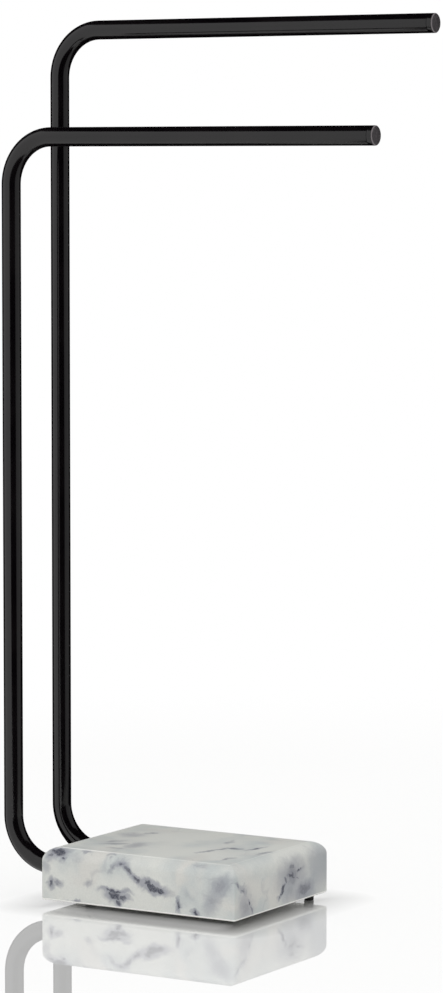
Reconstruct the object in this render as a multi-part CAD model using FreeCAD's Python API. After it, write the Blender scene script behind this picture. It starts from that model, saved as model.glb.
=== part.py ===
import FreeCAD, Part
import math
import os
from FreeCAD import Vector

# Freestanding towel stand: two bent round rails, one higher than the other, grow out
# of one side of a heavy marble slab that stands on four rubber feet.
#
# Frame: millimetres. +X runs towards the free ends of the rails, +Y from the front
# rail to the rear rail, +Z up. The origin is on the floor, in the middle of the whole
# stand's footprint.

# ---------------------------------------------------------------- driving dimensions

# Marble slab
SLAB_LENGTH = 222.0          # along X
SLAB_DEPTH = 180.0           # along Y
SLAB_THICKNESS = 52.0
SLAB_TOP_ROUND = 13.0        # soft shoulder worked round the top edge
SLAB_CORNER_ROUND = 3.5      # the four upright corners
SLAB_BOTTOM_BEVEL = 1.0      # arris taken off the lower edge

# Rails: leg in the slab, bend, upright, bend, arm
TUBE_DIAMETER = 19.0
TUBE_WALL = 1.5
BEND_RADIUS = 47.0           # of the tube's centre line
FRONT_ARM_HEIGHT = 757.0     # floor to the arm's centre line
REAR_ARM_HEIGHT = 864.0
FRONT_ARM_REACH = 412.0      # upright's centre line to the arm's free end
REAR_ARM_REACH = 428.0
RAIL_SPACING = 88.0          # between the two rails' centre lines, along Y
UPRIGHT_STANDOFF = 64.0      # upright's centre line to the slab's side face

# Plugs that close the free ends of the arms
CAP_HEAD_LENGTH = 6.0
CAP_BEVEL = 0.8
CAP_SEAM_BEVEL = 0.3         # fine groove where the head meets the tube's end
CAP_SPIGOT_LENGTH = 14.0
CAP_SPIGOT_BEVEL = 1.0

# How a leg is held in the slab: a plastic sleeve lines the bore, a threaded steel
# insert fills the leg's end, and a socket-head screw pulls it down from below
LEG_INSERTION = 100.0        # length of leg inside the slab
BORE_END_ROOM = 3.0          # bore goes this much deeper than the leg
BORE_MOUTH_BEVEL = 0.8
SLEEVE_WALL = 1.0
SLEEVE_RECESS = 1.5          # sleeve starts this far inside the slab's side face
INSERT_LENGTH = 30.0
FIT_CLEARANCE = 0.1          # radial, wherever one round piece sits in another

# M6 socket-head screw and its washer
SCREW_DIAMETER = 6.0
SCREW_HEAD_DIAMETER = 10.0
SCREW_HEAD_HEIGHT = 6.0
SCREW_SOCKET_WIDTH = 5.0     # across the flats of the hexagon
SCREW_SOCKET_DEPTH = 3.0
SCREW_EDGE_BEVEL = 0.5
SCREW_TIP_MARGIN = 1.4       # screw ends this far short of the insert's far side
SCREW_HEAD_RECESS = 1.5      # head lies this deep inside the slab's underside
SCREW_PASSAGE_CLEARANCE = 0.5
WASHER_DIAMETER = 12.0
WASHER_THICKNESS = 1.6
WASHER_BORE_CLEARANCE = 0.2
COUNTERBORE_CLEARANCE = 1.0  # radial, round the washer
THREAD_CLEARANCE = 0.05      # radial, round the screw in the insert's threaded hole

# Rubber feet, pushed into the slab by a stem
FOOT_HEIGHT = 7.0            # floor to the slab's underside
FOOT_DIAMETER = 9.5
FOOT_TREAD_BEVEL = 0.8
FOOT_STEM_DIAMETER = 5.0
FOOT_STEM_LENGTH = 9.0
FOOT_STEM_BEVEL = 0.8
FOOT_HOLE_END_ROOM = 1.0
LEFT_FEET_INSET = 32.0       # feet's centre lines to the slab's left face
FRONT_RIGHT_INSET = 26.0     # to its right face, front foot
REAR_RIGHT_INSET = 13.0      # to its right face, rear foot
FRONT_FEET_INSET = 40.0      # to its front face
REAR_FEET_INSET = 14.0       # to its rear face

# ---------------------------------------------------------------- places that follow

TUBE_RADIUS = TUBE_DIAMETER / 2
TUBE_BORE_RADIUS = TUBE_RADIUS - TUBE_WALL
SLEEVE_INNER_RADIUS = TUBE_RADIUS + FIT_CLEARANCE
SLEEVE_OUTER_RADIUS = SLEEVE_INNER_RADIUS + SLEEVE_WALL
BORE_RADIUS = SLEEVE_OUTER_RADIUS + FIT_CLEARANCE
INSERT_RADIUS = TUBE_BORE_RADIUS - FIT_CLEARANCE

# The stand reaches from the uprights' outer side to the longer arm's free end
OVERALL_LENGTH = TUBE_RADIUS + max(FRONT_ARM_REACH, REAR_ARM_REACH)
UPRIGHT_X = TUBE_RADIUS - OVERALL_LENGTH / 2
SLAB_LEFT_X = UPRIGHT_X + UPRIGHT_STANDOFF
SLAB_BOTTOM_Z = FOOT_HEIGHT
LEG_Z = SLAB_BOTTOM_Z + SLAB_THICKNESS / 2
LEG_END_X = SLAB_LEFT_X + LEG_INSERTION

SCREW_X = LEG_END_X - INSERT_LENGTH / 2
WASHER_TOP_Z = SLAB_BOTTOM_Z + SCREW_HEAD_RECESS + SCREW_HEAD_HEIGHT + WASHER_THICKNESS
SCREW_SEAT_Z = WASHER_TOP_Z - WASHER_THICKNESS
SCREW_TIP_Z = LEG_Z + INSERT_RADIUS - SCREW_TIP_MARGIN
COUNTERBORE_RADIUS = WASHER_DIAMETER / 2 + COUNTERBORE_CLEARANCE
SCREW_PASSAGE_RADIUS = SCREW_DIAMETER / 2 + SCREW_PASSAGE_CLEARANCE

FRONT_RAIL_Y = -RAIL_SPACING / 2
REAR_RAIL_Y = RAIL_SPACING / 2
RAILS = {
    "front": (FRONT_RAIL_Y, FRONT_ARM_HEIGHT, FRONT_ARM_REACH),
    "rear": (REAR_RAIL_Y, REAR_ARM_HEIGHT, REAR_ARM_REACH),
}

LEFT_FEET_X = SLAB_LEFT_X + LEFT_FEET_INSET
FRONT_RIGHT_X = SLAB_LEFT_X + SLAB_LENGTH - FRONT_RIGHT_INSET
REAR_RIGHT_X = SLAB_LEFT_X + SLAB_LENGTH - REAR_RIGHT_INSET
FRONT_FEET_Y = FRONT_FEET_INSET - SLAB_DEPTH / 2
REAR_FEET_Y = SLAB_DEPTH / 2 - REAR_FEET_INSET
FEET = {
    "front_left": (LEFT_FEET_X, FRONT_FEET_Y),
    "front_right": (FRONT_RIGHT_X, FRONT_FEET_Y),
    "rear_left": (LEFT_FEET_X, REAR_FEET_Y),
    "rear_right": (REAR_RIGHT_X, REAR_FEET_Y),
}

X_AXIS = Vector(1, 0, 0)
Z_AXIS = Vector(0, 0, 1)
HEXAGON_SIDES = 6
FLAT_TOLERANCE = 1e-6        # an edge rising less than this lies flat


# ---------------------------------------------------------------- helpers

def rod_along_x(radius, start_x, end_x, y, z):
    """A plain round bar parallel to X."""
    return Part.makeCylinder(radius, end_x - start_x, Vector(start_x, y, z), X_AXIS)


def rod_along_z(radius, x, y, start_z, end_z):
    """A plain round bar parallel to Z."""
    return Part.makeCylinder(radius, end_z - start_z, Vector(x, y, start_z), Z_AXIS)


def edges_at_height(solid, z):
    """The solid's edges that lie flat at the height z."""
    flat = []
    for edge in solid.Edges:
        box = edge.BoundBox
        if abs(box.ZMin - z) < FLAT_TOLERANCE and abs(box.ZMax - z) < FLAT_TOLERANCE:
            flat.append(edge)
    return flat


def turned(outline, axis_point, axis):
    """A solid of revolution from a closed outline, given as its corners."""
    face = Part.Face(Part.makePolygon(outline))
    return face.revolve(axis_point, axis, 360)


# ---------------------------------------------------------------- marble slab

def make_marble_base():
    """The slab, with soft top shoulders and all the holes drilled into it."""
    corner = Vector(SLAB_LEFT_X, -SLAB_DEPTH / 2, SLAB_BOTTOM_Z)
    slab = Part.makeBox(SLAB_LENGTH, SLAB_DEPTH, SLAB_THICKNESS, corner)
    upright_edges = [e for e in slab.Edges if e.BoundBox.ZLength > SLAB_THICKNESS / 2]
    slab = slab.makeFillet(SLAB_CORNER_ROUND, upright_edges)
    slab_top_z = SLAB_BOTTOM_Z + SLAB_THICKNESS
    slab = slab.makeFillet(SLAB_TOP_ROUND, edges_at_height(slab, slab_top_z))
    slab = slab.makeChamfer(SLAB_BOTTOM_BEVEL, edges_at_height(slab, SLAB_BOTTOM_Z))

    holes = []
    bore_end_x = LEG_END_X + BORE_END_ROOM
    for rail_y, _, _ in RAILS.values():
        mouth = Vector(SLAB_LEFT_X, rail_y, LEG_Z)
        mouth_radius = BORE_RADIUS + BORE_MOUTH_BEVEL
        holes.append(Part.makeCone(mouth_radius, BORE_RADIUS, BORE_MOUTH_BEVEL, mouth, X_AXIS))
        holes.append(rod_along_x(BORE_RADIUS, SLAB_LEFT_X, bore_end_x, rail_y, LEG_Z))
        holes.append(rod_along_z(COUNTERBORE_RADIUS, SCREW_X, rail_y, SLAB_BOTTOM_Z, WASHER_TOP_Z))
        holes.append(rod_along_z(SCREW_PASSAGE_RADIUS, SCREW_X, rail_y, SLAB_BOTTOM_Z, LEG_Z))
    foot_hole_radius = FOOT_STEM_DIAMETER / 2 + FIT_CLEARANCE
    foot_hole_end_z = SLAB_BOTTOM_Z + FOOT_STEM_LENGTH + FOOT_HOLE_END_ROOM
    for x, y in FEET.values():
        holes.append(rod_along_z(foot_hole_radius, x, y, SLAB_BOTTOM_Z, foot_hole_end_z))
    return slab.cut(holes)


# ---------------------------------------------------------------- rails

def rail_path(y, arm_height, reach):
    """The centre line of one rail, from the leg's inner end to the cap's shoulder."""
    r = BEND_RADIUS
    slant = r * (1 - math.sqrt(0.5))
    leg_end = Vector(LEG_END_X, y, LEG_Z)
    leg_start = Vector(UPRIGHT_X + r, y, LEG_Z)
    lower_middle = Vector(UPRIGHT_X + slant, y, LEG_Z + slant)
    upright_foot = Vector(UPRIGHT_X, y, LEG_Z + r)
    upright_head = Vector(UPRIGHT_X, y, arm_height - r)
    upper_middle = Vector(UPRIGHT_X + slant, y, arm_height - slant)
    arm_start = Vector(UPRIGHT_X + r, y, arm_height)
    arm_end = Vector(UPRIGHT_X + reach - CAP_HEAD_LENGTH, y, arm_height)
    return Part.Wire([
        Part.LineSegment(leg_end, leg_start).toShape(),
        Part.Arc(leg_start, lower_middle, upright_foot).toShape(),
        Part.LineSegment(upright_foot, upright_head).toShape(),
        Part.Arc(upright_head, upper_middle, arm_start).toShape(),
        Part.LineSegment(arm_start, arm_end).toShape(),
    ])


def make_rail_tube(y, arm_height, reach):
    """One bent tube, with the screw's hole in the lower wall of its leg."""
    path = rail_path(y, arm_height, reach)
    skins = []
    for radius in (TUBE_RADIUS, TUBE_BORE_RADIUS):
        circle = Part.Circle(Vector(LEG_END_X, y, LEG_Z), X_AXIS, radius)
        skins.append(path.makePipeShell([Part.Wire(circle.toShape())], True, False))
    tube = skins[0].cut(skins[1])
    return tube.cut(rod_along_z(SCREW_PASSAGE_RADIUS, SCREW_X, y, SLAB_BOTTOM_Z, LEG_Z))


def make_rail_cap(y, arm_height, reach):
    """A turned plug: a bevelled head as wide as the tube, and a spigot inside it."""
    spigot_radius = TUBE_BORE_RADIUS - FIT_CLEARANCE
    face_x = UPRIGHT_X + reach
    shoulder_x = face_x - CAP_HEAD_LENGTH
    spigot_x = shoulder_x - CAP_SPIGOT_LENGTH
    profile = [
        (spigot_x, 0),
        (spigot_x, spigot_radius - CAP_SPIGOT_BEVEL),
        (spigot_x + CAP_SPIGOT_BEVEL, spigot_radius),
        (shoulder_x, spigot_radius),
        (shoulder_x, TUBE_RADIUS - CAP_SEAM_BEVEL),
        (shoulder_x + CAP_SEAM_BEVEL, TUBE_RADIUS),
        (face_x - CAP_BEVEL, TUBE_RADIUS),
        (face_x, TUBE_RADIUS - CAP_BEVEL),
        (face_x, 0),
        (spigot_x, 0),
    ]
    points = [Vector(x, y, arm_height + radius) for x, radius in profile]
    return turned(points, Vector(0, y, arm_height), X_AXIS)


# ---------------------------------------------------------------- leg fixing

def make_leg_sleeve(y):
    """The plastic liner between leg and bore, with a passage for the screw."""
    start_x = SLAB_LEFT_X + SLEEVE_RECESS
    outer = rod_along_x(SLEEVE_OUTER_RADIUS, start_x, LEG_END_X, y, LEG_Z)
    inner = rod_along_x(SLEEVE_INNER_RADIUS, start_x, LEG_END_X, y, LEG_Z)
    passage = rod_along_z(SCREW_PASSAGE_RADIUS, SCREW_X, y, SLAB_BOTTOM_Z, LEG_Z)
    return outer.cut([inner, passage])


def make_leg_insert(y):
    """The steel bar in the leg's end, cross-drilled for the screw's thread."""
    start_x = LEG_END_X - INSERT_LENGTH
    bar = rod_along_x(INSERT_RADIUS, start_x, LEG_END_X, y, LEG_Z)
    thread_radius = SCREW_DIAMETER / 2 + THREAD_CLEARANCE
    thread = rod_along_z(thread_radius, SCREW_X, y, LEG_Z - TUBE_RADIUS, LEG_Z + TUBE_RADIUS)
    return bar.cut(thread)


def make_fixing_screw(y):
    """A socket-head screw, head down, with its hexagon socket."""
    head_bottom_z = SCREW_SEAT_Z - SCREW_HEAD_HEIGHT
    head_radius = SCREW_HEAD_DIAMETER / 2
    shank_radius = SCREW_DIAMETER / 2
    profile = [
        (0, head_bottom_z),
        (head_radius - SCREW_EDGE_BEVEL, head_bottom_z),
        (head_radius, head_bottom_z + SCREW_EDGE_BEVEL),
        (head_radius, SCREW_SEAT_Z),
        (shank_radius, SCREW_SEAT_Z),
        (shank_radius, SCREW_TIP_Z - SCREW_EDGE_BEVEL),
        (shank_radius - SCREW_EDGE_BEVEL, SCREW_TIP_Z),
        (0, SCREW_TIP_Z),
        (0, head_bottom_z),
    ]
    points = [Vector(SCREW_X + radius, y, z) for radius, z in profile]
    screw = turned(points, Vector(SCREW_X, y, 0), Z_AXIS)

    corner_radius = SCREW_SOCKET_WIDTH / math.sqrt(3)
    hexagon = []
    for corner in range(HEXAGON_SIDES + 1):
        angle = 2 * math.pi * corner / HEXAGON_SIDES
        x = SCREW_X + corner_radius * math.cos(angle)
        hexagon.append(Vector(x, y + corner_radius * math.sin(angle), head_bottom_z))
    socket = Part.Face(Part.makePolygon(hexagon)).extrude(Vector(0, 0, SCREW_SOCKET_DEPTH))
    return screw.cut(socket)


def make_fixing_washer(y):
    """The flat washer between the screw's head and the stone."""
    bore_radius = SCREW_DIAMETER / 2 + WASHER_BORE_CLEARANCE
    disc = rod_along_z(WASHER_DIAMETER / 2, SCREW_X, y, SCREW_SEAT_Z, WASHER_TOP_Z)
    return disc.cut(rod_along_z(bore_radius, SCREW_X, y, SCREW_SEAT_Z, WASHER_TOP_Z))


# ---------------------------------------------------------------- feet

def make_foot(x, y):
    """A rubber foot with a bevelled tread and a stem in the stone."""
    foot_radius = FOOT_DIAMETER / 2
    stem_radius = FOOT_STEM_DIAMETER / 2
    stem_top_z = SLAB_BOTTOM_Z + FOOT_STEM_LENGTH
    profile = [
        (foot_radius - FOOT_TREAD_BEVEL, 0),
        (foot_radius, FOOT_TREAD_BEVEL),
        (foot_radius, SLAB_BOTTOM_Z),
        (stem_radius, SLAB_BOTTOM_Z),
        (stem_radius, stem_top_z - FOOT_STEM_BEVEL),
        (stem_radius - FOOT_STEM_BEVEL, stem_top_z),
        (0, stem_top_z),
        (0, 0),
        (foot_radius - FOOT_TREAD_BEVEL, 0),
    ]
    points = [Vector(x + radius, y, z) for radius, z in profile]
    return turned(points, Vector(x, y, 0), Z_AXIS)


# ---------------------------------------------------------------- the stand

def build_stand():
    """Every piece of the stand, by the name of its node."""
    pieces = {"marble_base": make_marble_base()}
    for name, (y, arm_height, reach) in RAILS.items():
        pieces[name + "_rail_tube"] = make_rail_tube(y, arm_height, reach)
        pieces[name + "_rail_cap"] = make_rail_cap(y, arm_height, reach)
        pieces[name + "_leg_sleeve"] = make_leg_sleeve(y)
        pieces[name + "_leg_insert"] = make_leg_insert(y)
    rail_places = [y for y, _, _ in RAILS.values()]
    pieces["fixing_screws"] = Part.makeCompound([make_fixing_screw(y) for y in rail_places])
    pieces["fixing_washers"] = Part.makeCompound([make_fixing_washer(y) for y in rail_places])
    for name, (x, y) in FEET.items():
        pieces["foot_" + name] = make_foot(x, y)
    return pieces


os.makedirs("parts", exist_ok=True)
for node, shape in build_stand().items():
    print(node, "valid", shape.isValid(), "solids", len(shape.Solids), "volume", round(shape.Volume, 1))
    shape.exportStep("parts/" + node + ".step")
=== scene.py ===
"""Looks of a freestanding towel stand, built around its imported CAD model.

Two bent black steel rails, one higher than the other, grow out of one side of a heavy
honed marble slab on four rubber feet. Lengths are in millimetres, as the CAD has them,
and MM turns them into Blender's metres. +X runs towards the rails' free ends, +Y from
the front rail to the rear rail, +Z up.
"""

import logging
import math
from dataclasses import dataclass, field
from enum import Enum
from functools import cache, partial
from typing import Callable, Mapping, Optional, Sequence, Union

import bmesh
import bpy
from mathutils import Matrix, Vector


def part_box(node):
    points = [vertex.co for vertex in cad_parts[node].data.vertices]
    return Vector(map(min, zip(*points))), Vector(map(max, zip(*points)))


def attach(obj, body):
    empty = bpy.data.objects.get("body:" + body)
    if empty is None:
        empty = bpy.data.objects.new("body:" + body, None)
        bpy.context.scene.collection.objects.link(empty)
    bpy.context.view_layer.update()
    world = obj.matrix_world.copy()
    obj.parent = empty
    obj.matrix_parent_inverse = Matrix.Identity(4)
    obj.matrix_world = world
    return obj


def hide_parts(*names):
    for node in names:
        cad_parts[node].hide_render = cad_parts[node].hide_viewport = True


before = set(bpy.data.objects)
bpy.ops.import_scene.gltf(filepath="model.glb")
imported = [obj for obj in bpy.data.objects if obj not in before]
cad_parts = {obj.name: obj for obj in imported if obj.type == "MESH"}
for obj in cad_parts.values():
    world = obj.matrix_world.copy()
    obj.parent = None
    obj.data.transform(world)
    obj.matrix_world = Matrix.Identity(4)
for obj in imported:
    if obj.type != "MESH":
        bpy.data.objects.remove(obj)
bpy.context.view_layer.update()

Piece = bpy.types.Object
Material = bpy.types.Material
Socket = bpy.types.NodeSocket
Adder = Callable[..., Optional[Socket]]          # add_node, tied to one node tree
Inputs = Union[Mapping[Union[str, int], object], Sequence[object]]
Outline = Sequence[tuple[float, float]]          # (place along the axis, radius) pairs

LOG = logging.getLogger("towel_stand")
ROOT_BODY = "root"
MM = 0.001
NEAR = 0.01                      # two places nearer than this are one place
SMOOTH_ANGLE = 35.0              # degrees; crisper edges than this stay crisp
TUBE_RADIUS = 9.5
PASSAGE_RADIUS = 3.5             # of the screws' holes
FOOT_RADIUS = 4.75
FINE_SIDES = 64                  # of the larger round pieces, and of the smaller ones below
ROUND_SIDES = 48
HOLE_SIDES = 32
HEXAGON = 6
EDGE_FACETS = 2                  # of a broken edge
MID_NOISE = 0.5                  # the middle of a noise's range
WHITE = "#FFFFFF"


# ---------------------------------------------------------------- named choices

class Slot(Enum):
    """The record's material slots."""

    MARBLE = "marble"
    BLACK_STEEL = "black_steel"
    CAP_METAL = "cap_metal"
    RUBBER_FEET = "rubber_feet"
    SLEEVE_PLASTIC = "sleeve_plastic"
    FASTENER_STEEL = "fastener_steel"


class Node(Enum):
    """What the nodes used here are called, after ShaderNode."""

    PLACE = "TexCoord"
    GEOMETRY = "NewGeometry"
    MAPPING = "Mapping"
    NOISE = "TexNoise"
    CELLS = "TexVoronoi"
    RANGE = "MapRange"
    MATH = "Math"
    VECTOR = "VectorMath"
    SPLIT = "SeparateXYZ"
    MIX = "Mix"
    VALUE_SHIFT = "HueSaturation"
    BUMP = "Bump"
    SURFACE = "BsdfPrincipled"
    LIGHT_PATH = "LightPath"
    FACING = "LayerWeight"
    DIFFUSE = "BsdfDiffuse"
    MIRROR = "BsdfAnisotropic"
    CLEAR = "BsdfTransparent"
    GLOW = "Emission"
    ADD_SHADER = "AddShader"
    MIX_SHADER = "MixShader"
    BACKGROUND = "Background"
    WORLD_OUTPUT = "OutputWorld"
    OUTPUT = "OutputMaterial"


SOFT = {"interpolation_type": "SMOOTHSTEP", "clamp": False}   # soft at both ends of its range
MIXED = 2                        # the output of a mix of colours


class Axis(Enum):
    """The way an axis points: its direction, and the tilt of a flat circle square to it."""

    X = ((1.0, 0.0, 0.0), (0.0, math.pi / 2, 0.0))
    Y = ((0.0, 1.0, 0.0), (-math.pi / 2, 0.0, 0.0))
    Z = ((0.0, 0.0, 1.0), (0.0, 0.0, 0.0))

    @property
    def direction(self) -> Vector:
        """The axis as a unit vector."""
        return Vector(self.value[0])

    @property
    def tilt(self) -> tuple[float, float, float]:
        """The turn that lays a flat circle square to the axis."""
        return self.value[1]

    def radial_scale(self, factor: float) -> Vector:
        """Scale factors that widen a ring about the axis and leave its place along it."""
        return self.direction + (Vector((1.0, 1.0, 1.0)) - self.direction) * factor


# ---------------------------------------------------------------- places in the frame

@dataclass(frozen=True)
class Box:
    """A CAD node's box, in millimetres."""

    low: Vector
    high: Vector

    @classmethod
    def of(cls, node: str) -> "Box":
        """Reads a node's box from the frame, to the nearest micrometre."""
        return cls(*(Vector([round(value / MM, 3) for value in corner]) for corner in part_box(node)))

    @property
    def middle(self) -> Vector:
        """Its middle."""
        return (self.low + self.high) / 2

    @property
    def half(self) -> Vector:
        """Half of its size, each way."""
        return (self.high - self.low) / 2


SLAB = Box.of("marble_base")
SLAB_MIDDLE = Vector((SLAB.middle.x, SLAB.middle.y, 0.0))
SLAB_HALF = Vector((SLAB.half.x, SLAB.half.y, 0.0))
SHOULDER = 13.0                  # how far the slab's rolled edge reaches in and down


class Rail(Enum):
    """The two rails, and the places that their pieces share."""

    FRONT = "front"
    REAR = "rear"

    def box(self, part: str) -> Box:
        """The box of one of its CAD nodes, named by the end of the node's name."""
        return Box.of(f"{self.value}_{part}")

    @property
    def leg_end(self) -> Vector:
        """The middle of its leg's end, deep in the slab."""
        sleeve = self.box("leg_sleeve")
        return Vector((sleeve.high.x, sleeve.middle.y, sleeve.middle.z))

    @property
    def arm_end(self) -> Vector:
        """The middle of its plug's outer face, at its arm's free end."""
        cap = self.box("rail_cap")
        return Vector((cap.high.x, cap.middle.y, cap.high.z - TUBE_RADIUS))

    @property
    def screw_axis(self) -> Vector:
        """Where its screw's upright axis meets the floor."""
        insert = self.box("leg_insert")
        return Vector((insert.middle.x, insert.middle.y, 0.0))


class Foot(Enum):
    """The four feet."""

    FRONT_LEFT = "front_left"
    FRONT_RIGHT = "front_right"
    REAR_LEFT = "rear_left"
    REAR_RIGHT = "rear_right"

    @property
    def place(self) -> Vector:
        """The middle of its tread, on the floor."""
        box = Box.of(f"foot_{self.value}")
        return Vector((box.high.x - FOOT_RADIUS, box.middle.y, 0.0))


# ---------------------------------------------------------------- colours and nodes

def linear(hex_colour: str) -> tuple[float, float, float, float]:
    """Turns an sRGB hex colour into Blender's linear colour.

    Args:
        hex_colour: six hexadecimal digits after a #.

    Returns:
        Red, green, blue and an opaque alpha.
    """
    channels = []
    for start in (1, 3, 5):
        value = int(hex_colour[start:start + 2], 16) / 255
        channels.append(value / 12.92 if value <= 0.04045 else ((value + 0.055) / 1.055) ** 2.4)
    return (channels[0], channels[1], channels[2], 1.0)


def per_mm(size: float) -> float:
    """The texture scale at which one cell of a pattern is this many millimetres wide."""
    return 1 / (size * MM)


def add_node(
    tree: bpy.types.NodeTree, kind: Node, inputs: Inputs = (), output: Union[str, int] = 0,
    **settings: object,
) -> Optional[Socket]:
    """Adds one node with its settings, its inputs' values and its links.

    Args:
        tree: the node tree it goes into.
        kind: which node it is.
        inputs: its inputs in order, or by name or number: each a value, or a socket to link.
        output: the output that is wanted, by name or number.
        settings: the node's own properties by name.

    Returns:
        The wanted output, or None for a node that ends a tree.
    """
    node = tree.nodes.new(f"ShaderNode{kind.value}")
    for name, value in settings.items():
        setattr(node, name, value)
    for key, value in inputs.items() if isinstance(inputs, Mapping) else enumerate(inputs):
        if isinstance(value, Socket):
            tree.links.new(value, node.inputs[key])
        else:
            node.inputs[key].default_value = value
    return node.outputs[output] if len(node.outputs) else None


def new_material(name: str) -> tuple[Material, Adder]:
    """Makes an empty node material.

    Args:
        name: the material's name.

    Returns:
        The material, and what adds a node to it.
    """
    material = bpy.data.materials.new(name)
    material.use_nodes = True
    material.node_tree.nodes.clear()
    return material, partial(add_node, material.node_tree)


def layered(add: Adder, colour: object, *layers: tuple[Socket, object]) -> Socket:
    """Lays colours over one another.

    Args:
        add: adds a node to the tree.
        colour: the lowest colour.
        layers: the others from below, each with the mask that says where it shows.

    Returns:
        The colour that shows.
    """
    for mask, upper in layers:
        mixes = {0: mask, 6: colour, 7: upper}
        colour = add(Node.MIX, mixes, MIXED, data_type="RGBA")
    return colour


def beyond_outline(add: Adder, place: Socket, half: Vector) -> Socket:
    """How far a place lies beyond a rectangle about the slab's middle.

    Args:
        add: adds a node to the tree.
        place: the place, in metres.
        half: half of the rectangle's sides, in millimetres.

    Returns:
        The distance beyond its sides, along X and along Y, which is below 0 inside.
    """
    offset = add(Node.VECTOR, (place, SLAB_MIDDLE * MM), operation="SUBTRACT")
    folded = add(Node.VECTOR, (offset,), operation="ABSOLUTE")
    return add(Node.VECTOR, (folded, half * MM), operation="SUBTRACT")


@dataclass(frozen=True)
class Patches:
    """Soft patches of a real size, where a noise passes from one level to another."""

    size: float                      # how wide they are
    span: tuple[float, ...]          # the two levels, and what they give where not 0 and 1
    detail: float = 2.0
    roughness: float = 0.5
    distortion: float = 0.0

    def lay(self, add: Adder, place: Socket) -> Socket:
        """Adds the patches.

        Args:
            add: adds a node to the tree.
            place: the place on the piece.

        Returns:
            How deep in a patch the place lies.
        """
        noise = {"Detail": self.detail, "Roughness": self.roughness, "Distortion": self.distortion}
        level = add(Node.NOISE, {"Vector": place, "Scale": per_mm(self.size), **noise})
        return add(Node.RANGE, (level, *self.span), **SOFT)


@dataclass(frozen=True)
class Relief:
    """A fine relief, coarser than the real one so that it shows."""

    size: float
    depth: float
    strength: float
    detail: float
    kind: Node = Node.NOISE

    def lay(self, add: Adder, place: Socket) -> Socket:
        """Adds the relief.

        Args:
            add: adds a node to the tree.
            place: the place on the piece.

        Returns:
            The surface's direction.
        """
        texture = {"Vector": place, "Scale": per_mm(self.size), "Detail": self.detail}
        depth = {"Strength": self.strength, "Distance": self.depth * MM}
        return add(Node.BUMP, {"Height": add(self.kind, texture), **depth})


# ---------------------------------------------------------------- finishes

@dataclass(frozen=True)
class Finish:
    """What every finish shares: a name, and one surface shader fed by its patterns."""

    name: str

    def build(self) -> Material:
        """Builds the material.

        Returns:
            The material.
        """
        material, add = new_material(self.name)
        place = add(Node.PLACE, output="Object")
        add(Node.OUTPUT, (add(Node.SURFACE, self.sockets(add, place)),))
        return material

    def sockets(self, add: Adder, place: Socket) -> dict[str, object]:
        """Works out what goes into the surface shader.

        Args:
            add: adds a node to the tree.
            place: the place on the piece, in metres, that every pattern reads.

        Returns:
            Values and patterns by the shader's input names.
        """
        raise NotImplementedError


@dataclass(frozen=True)
class Skin(Finish):
    """A plain skin: slow clouds in its colour and gloss, and a fine relief all over."""

    colour: str
    cloud_colour: str
    clouds: Patches
    gloss: Patches                   # gives the roughness
    relief: Relief
    fixed: Mapping[str, float]       # what is the same all over, by the shader's input names

    def sockets(self, add: Adder, place: Socket) -> dict[str, object]:
        """Clouds for colour and gloss, relief for the skin."""
        cloud = (self.clouds.lay(add, place), linear(self.cloud_colour))
        return {
            "Base Color": layered(add, linear(self.colour), cloud),
            "Roughness": self.gloss.lay(add, place),
            "Normal": self.relief.lay(add, place),
            **self.fixed,
        }


# Powder-coated steel: deep black with a clean gloss, and a trace of the powder's peel.
POWDER_COATED_STEEL = Skin(
    "powder_coated_steel_black", "#060406", "#0C090B",
    clouds=Patches(60.0, (0.35, 0.65), detail=3.0),
    gloss=Patches(60.0, (0.3, 0.7, 0.12, 0.18), detail=3.0),
    relief=Relief(1.6, depth=0.003, strength=0.3, detail=1.0),
    fixed={"IOR": 1.5},
)
# Moulded nitrile rubber: near black and dull, with a dusty bloom.
MOULDED_RUBBER = Skin(
    "moulded_nitrile_rubber", "#1A1A1A", "#2B2A29",
    clouds=Patches(3.0, (0.38, 0.68), detail=4.0),
    gloss=Patches(3.0, (0.38, 0.68, 0.69, 0.83), detail=4.0),
    relief=Relief(0.8, depth=0.015, strength=0.4, detail=2.0),
    fixed={"IOR": 1.52},
)
# Moulded nylon: black and waxy, with slow flow clouds.
MOULDED_NYLON = Skin(
    "moulded_nylon_black", "#1C1C1D", "#262627",
    clouds=Patches(9.0, (0.38, 0.68), detail=4.0),
    gloss=Patches(9.0, (0.38, 0.68, 0.39, 0.53), detail=4.0),
    relief=Relief(0.8, depth=0.015, strength=0.4, detail=2.0),
    fixed={"IOR": 1.53},
)
# Zinc-plated steel: bright bluish metal with faint passivation clouds and scratches.
ZINC_PLATED_STEEL = Skin(
    "zinc_plated_steel", "#B9BDC2", "#A3A6A6",
    clouds=Patches(4.0, (0.35, 0.65), detail=3.0),
    gloss=Patches(4.0, (0.35, 0.65, 0.26, 0.42), detail=3.0),
    relief=Relief(0.5, depth=0.008, strength=0.3, detail=3.0),
    fixed={"Metallic": 1.0},
)


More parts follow.
